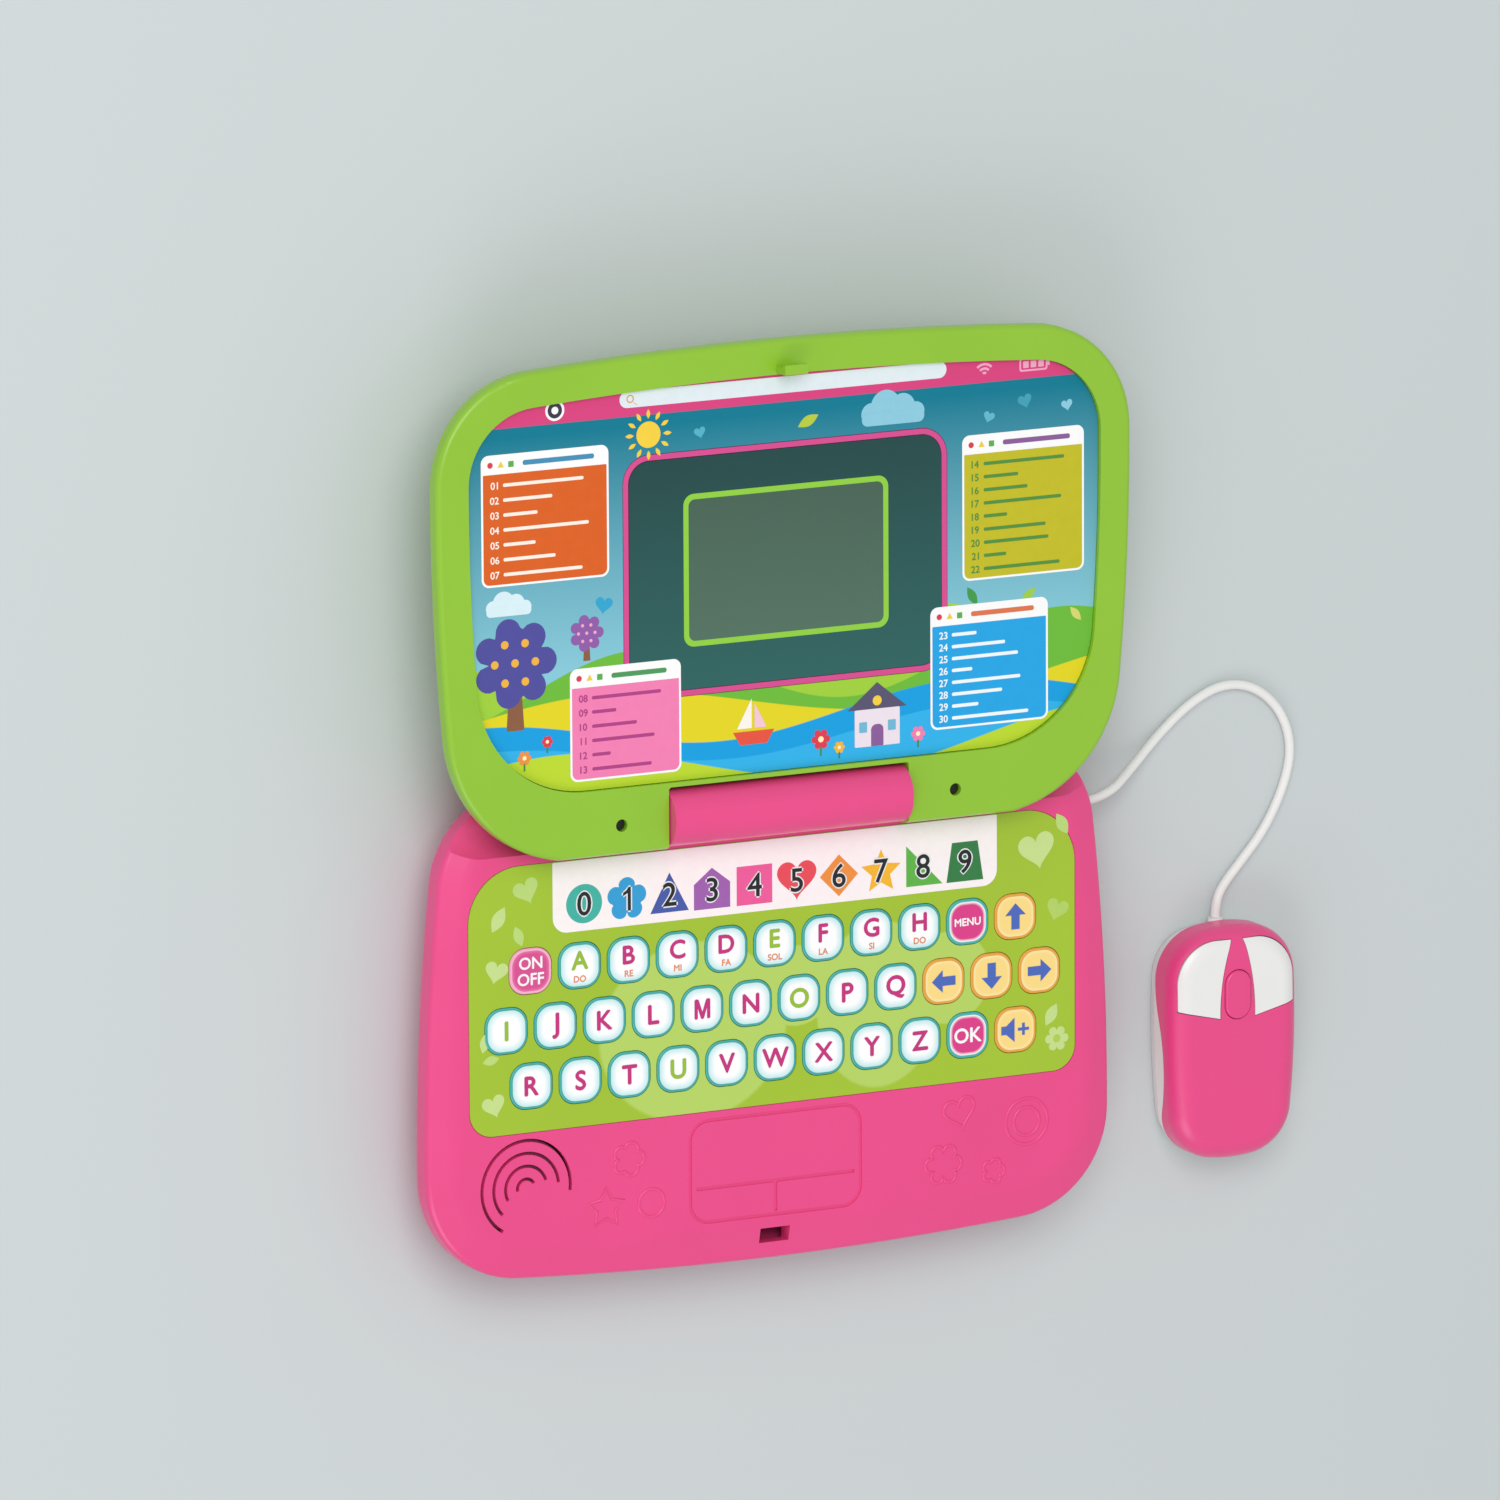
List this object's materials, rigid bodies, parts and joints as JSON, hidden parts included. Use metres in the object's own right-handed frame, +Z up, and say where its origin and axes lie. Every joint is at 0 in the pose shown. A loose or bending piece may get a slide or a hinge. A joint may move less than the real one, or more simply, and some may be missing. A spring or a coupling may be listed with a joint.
{
  "type": "toy laptop computer",
  "caption": "Open toy learning laptop with hinged lid, printed picture panel, small display, pressable letter keys and a corded mouse.",
  "frame": {"origin": "on the table under the middle of the base", "axes": "+X to the right of the keyboard, +Y to the rear where the lid lies open, +Z up"},
  "size_m": [0.3241, 0.299, 0.0455],
  "materials": {
    "pink_plastic": "moulded, satin gloss",
    "green_plastic": "moulded, satin gloss",
    "white_plastic": "moulded, satin gloss",
    "printed_film": "printed film, satin",
    "printed_panel": "printed sheet, satin",
    "white_key": "printed film dome, satin",
    "yellow_key": "printed film dome, satin",
    "magenta_key": "printed film dome, satin",
    "contact_rubber": "silicone rubber",
    "circuit_board": "laminate",
    "speaker_frame": "pressed steel",
    "cell_wrap": "printed sleeve",
    "plated_steel": "zinc plated",
    "white_vinyl": "soft vinyl",
    "dark_window": "tinted clear acrylic",
    "display_glass": "liquid crystal cell"
  },
  "bodies": {
    "base": {"base_top_shell": "pink_plastic", "base_bottom_shell": "pink_plastic", "battery_cover": "pink_plastic", "battery_cells": "cell_wrap", "battery_contacts": "plated_steel", "base_screws": "plated_steel", "hinge_pins": "plated_steel", "keyboard_overlay": "printed_film", "key_membrane": "contact_rubber", "main_board": "circuit_board", "speaker": "speaker_frame", "cord_strain_relief": "white_vinyl", "mouse_cord": "white_vinyl", "mouse_top_shell": "pink_plastic", "mouse_bottom_shell": "white_plastic", "mouse_board": "circuit_board"},
    "lid": {"lid_front_frame": "green_plastic", "lid_back_shell": "green_plastic", "lid_art_panel": "printed_panel", "screen_bezel": "pink_plastic", "screen_window": "dark_window", "lcd_module": "display_glass", "lid_screws": "plated_steel"},
    "mouse_left_button": {"mouse_left_button": "white_plastic"},
    "mouse_right_button": {"mouse_right_button": "white_plastic"},
    "mouse_scroll_pad": {"mouse_scroll_pad": "pink_plastic"},
    "key_on_off": {"key_on_off": "magenta_key"},
    "key_a": {"key_a": "white_key"},
    "key_b": {"key_b": "white_key"},
    "key_c": {"key_c": "white_key"},
    "key_d": {"key_d": "white_key"},
    "key_e": {"key_e": "white_key"},
    "key_f": {"key_f": "white_key"},
    "key_g": {"key_g": "white_key"},
    "key_h": {"key_h": "white_key"},
    "key_menu": {"key_menu": "magenta_key"},
    "key_up": {"key_up": "yellow_key"},
    "key_i": {"key_i": "white_key"},
    "key_j": {"key_j": "white_key"},
    "key_k": {"key_k": "white_key"},
    "key_l": {"key_l": "white_key"},
    "key_m": {"key_m": "white_key"},
    "key_n": {"key_n": "white_key"},
    "key_o": {"key_o": "white_key"},
    "key_p": {"key_p": "white_key"},
    "key_q": {"key_q": "white_key"},
    "key_left": {"key_left": "yellow_key"},
    "key_down": {"key_down": "yellow_key"},
    "key_right": {"key_right": "yellow_key"},
    "key_r": {"key_r": "white_key"},
    "key_s": {"key_s": "white_key"},
    "key_t": {"key_t": "white_key"},
    "key_u": {"key_u": "white_key"},
    "key_v": {"key_v": "white_key"},
    "key_w": {"key_w": "white_key"},
    "key_x": {"key_x": "white_key"},
    "key_y": {"key_y": "white_key"},
    "key_z": {"key_z": "white_key"},
    "key_ok": {"key_ok": "magenta_key"},
    "key_volume": {"key_volume": "yellow_key"}
  },
  "joints": [
    {"name": "click_left_button", "type": "slide", "parent": "base", "child": "mouse_left_button", "axis": [0, 0, -1], "range_m": [0, 0.0008], "stiffness_N_per_m": 600, "springref_m": -0.0008},
    {"name": "click_right_button", "type": "slide", "parent": "base", "child": "mouse_right_button", "axis": [0, 0, -1], "range_m": [0, 0.0008], "stiffness_N_per_m": 600, "springref_m": -0.0008},
    {"name": "click_scroll_pad", "type": "slide", "parent": "base", "child": "mouse_scroll_pad", "axis": [0, 0, -1], "range_m": [0, 0.0008], "stiffness_N_per_m": 600, "springref_m": -0.0008},
    {"name": "hinge_lid", "type": "hinge", "parent": "base", "child": "lid", "pos_m": [0, 0.0675, 0.034], "axis": [1, 0, 0], "range_deg": [0, 180]},
    {"name": "key_on_off_press", "type": "slide", "parent": "base", "child": "key_on_off", "axis": [0, 0, -1], "range_m": [0, 0.0005], "stiffness_N_per_m": 800, "springref_m": -0.0005},
    {"name": "key_a_press", "type": "slide", "parent": "base", "child": "key_a", "axis": [0, 0, -1], "range_m": [0, 0.0005], "stiffness_N_per_m": 800, "springref_m": -0.0005},
    {"name": "key_b_press", "type": "slide", "parent": "base", "child": "key_b", "axis": [0, 0, -1], "range_m": [0, 0.0005], "stiffness_N_per_m": 800, "springref_m": -0.0005},
    {"name": "key_c_press", "type": "slide", "parent": "base", "child": "key_c", "axis": [0, 0, -1], "range_m": [0, 0.0005], "stiffness_N_per_m": 800, "springref_m": -0.0005},
    {"name": "key_d_press", "type": "slide", "parent": "base", "child": "key_d", "axis": [0, 0, -1], "range_m": [0, 0.0005], "stiffness_N_per_m": 800, "springref_m": -0.0005},
    {"name": "key_e_press", "type": "slide", "parent": "base", "child": "key_e", "axis": [0, 0, -1], "range_m": [0, 0.0005], "stiffness_N_per_m": 800, "springref_m": -0.0005},
    {"name": "key_f_press", "type": "slide", "parent": "base", "child": "key_f", "axis": [0, 0, -1], "range_m": [0, 0.0005], "stiffness_N_per_m": 800, "springref_m": -0.0005},
    {"name": "key_g_press", "type": "slide", "parent": "base", "child": "key_g", "axis": [0, 0, -1], "range_m": [0, 0.0005], "stiffness_N_per_m": 800, "springref_m": -0.0005},
    {"name": "key_h_press", "type": "slide", "parent": "base", "child": "key_h", "axis": [0, 0, -1], "range_m": [0, 0.0005], "stiffness_N_per_m": 800, "springref_m": -0.0005},
    {"name": "key_menu_press", "type": "slide", "parent": "base", "child": "key_menu", "axis": [0, 0, -1], "range_m": [0, 0.0005], "stiffness_N_per_m": 800, "springref_m": -0.0005},
    {"name": "key_up_press", "type": "slide", "parent": "base", "child": "key_up", "axis": [0, 0, -1], "range_m": [0, 0.0005], "stiffness_N_per_m": 800, "springref_m": -0.0005},
    {"name": "key_i_press", "type": "slide", "parent": "base", "child": "key_i", "axis": [0, 0, -1], "range_m": [0, 0.0005], "stiffness_N_per_m": 800, "springref_m": -0.0005},
    {"name": "key_j_press", "type": "slide", "parent": "base", "child": "key_j", "axis": [0, 0, -1], "range_m": [0, 0.0005], "stiffness_N_per_m": 800, "springref_m": -0.0005},
    {"name": "key_k_press", "type": "slide", "parent": "base", "child": "key_k", "axis": [0, 0, -1], "range_m": [0, 0.0005], "stiffness_N_per_m": 800, "springref_m": -0.0005},
    {"name": "key_l_press", "type": "slide", "parent": "base", "child": "key_l", "axis": [0, 0, -1], "range_m": [0, 0.0005], "stiffness_N_per_m": 800, "springref_m": -0.0005},
    {"name": "key_m_press", "type": "slide", "parent": "base", "child": "key_m", "axis": [0, 0, -1], "range_m": [0, 0.0005], "stiffness_N_per_m": 800, "springref_m": -0.0005},
    {"name": "key_n_press", "type": "slide", "parent": "base", "child": "key_n", "axis": [0, 0, -1], "range_m": [0, 0.0005], "stiffness_N_per_m": 800, "springref_m": -0.0005},
    {"name": "key_o_press", "type": "slide", "parent": "base", "child": "key_o", "axis": [0, 0, -1], "range_m": [0, 0.0005], "stiffness_N_per_m": 800, "springref_m": -0.0005},
    {"name": "key_p_press", "type": "slide", "parent": "base", "child": "key_p", "axis": [0, 0, -1], "range_m": [0, 0.0005], "stiffness_N_per_m": 800, "springref_m": -0.0005},
    {"name": "key_q_press", "type": "slide", "parent": "base", "child": "key_q", "axis": [0, 0, -1], "range_m": [0, 0.0005], "stiffness_N_per_m": 800, "springref_m": -0.0005},
    {"name": "key_left_press", "type": "slide", "parent": "base", "child": "key_left", "axis": [0, 0, -1], "range_m": [0, 0.0005], "stiffness_N_per_m": 800, "springref_m": -0.0005},
    {"name": "key_down_press", "type": "slide", "parent": "base", "child": "key_down", "axis": [0, 0, -1], "range_m": [0, 0.0005], "stiffness_N_per_m": 800, "springref_m": -0.0005},
    {"name": "key_right_press", "type": "slide", "parent": "base", "child": "key_right", "axis": [0, 0, -1], "range_m": [0, 0.0005], "stiffness_N_per_m": 800, "springref_m": -0.0005},
    {"name": "key_r_press", "type": "slide", "parent": "base", "child": "key_r", "axis": [0, 0, -1], "range_m": [0, 0.0005], "stiffness_N_per_m": 800, "springref_m": -0.0005},
    {"name": "key_s_press", "type": "slide", "parent": "base", "child": "key_s", "axis": [0, 0, -1], "range_m": [0, 0.0005], "stiffness_N_per_m": 800, "springref_m": -0.0005},
    {"name": "key_t_press", "type": "slide", "parent": "base", "child": "key_t", "axis": [0, 0, -1], "range_m": [0, 0.0005], "stiffness_N_per_m": 800, "springref_m": -0.0005},
    {"name": "key_u_press", "type": "slide", "parent": "base", "child": "key_u", "axis": [0, 0, -1], "range_m": [0, 0.0005], "stiffness_N_per_m": 800, "springref_m": -0.0005},
    {"name": "key_v_press", "type": "slide", "parent": "base", "child": "key_v", "axis": [0, 0, -1], "range_m": [0, 0.0005], "stiffness_N_per_m": 800, "springref_m": -0.0005},
    {"name": "key_w_press", "type": "slide", "parent": "base", "child": "key_w", "axis": [0, 0, -1], "range_m": [0, 0.0005], "stiffness_N_per_m": 800, "springref_m": -0.0005},
    {"name": "key_x_press", "type": "slide", "parent": "base", "child": "key_x", "axis": [0, 0, -1], "range_m": [0, 0.0005], "stiffness_N_per_m": 800, "springref_m": -0.0005},
    {"name": "key_y_press", "type": "slide", "parent": "base", "child": "key_y", "axis": [0, 0, -1], "range_m": [0, 0.0005], "stiffness_N_per_m": 800, "springref_m": -0.0005},
    {"name": "key_z_press", "type": "slide", "parent": "base", "child": "key_z", "axis": [0, 0, -1], "range_m": [0, 0.0005], "stiffness_N_per_m": 800, "springref_m": -0.0005},
    {"name": "key_ok_press", "type": "slide", "parent": "base", "child": "key_ok", "axis": [0, 0, -1], "range_m": [0, 0.0005], "stiffness_N_per_m": 800, "springref_m": -0.0005},
    {"name": "key_volume_press", "type": "slide", "parent": "base", "child": "key_volume", "axis": [0, 0, -1], "range_m": [0, 0.0005], "stiffness_N_per_m": 800, "springref_m": -0.0005}
  ]
}
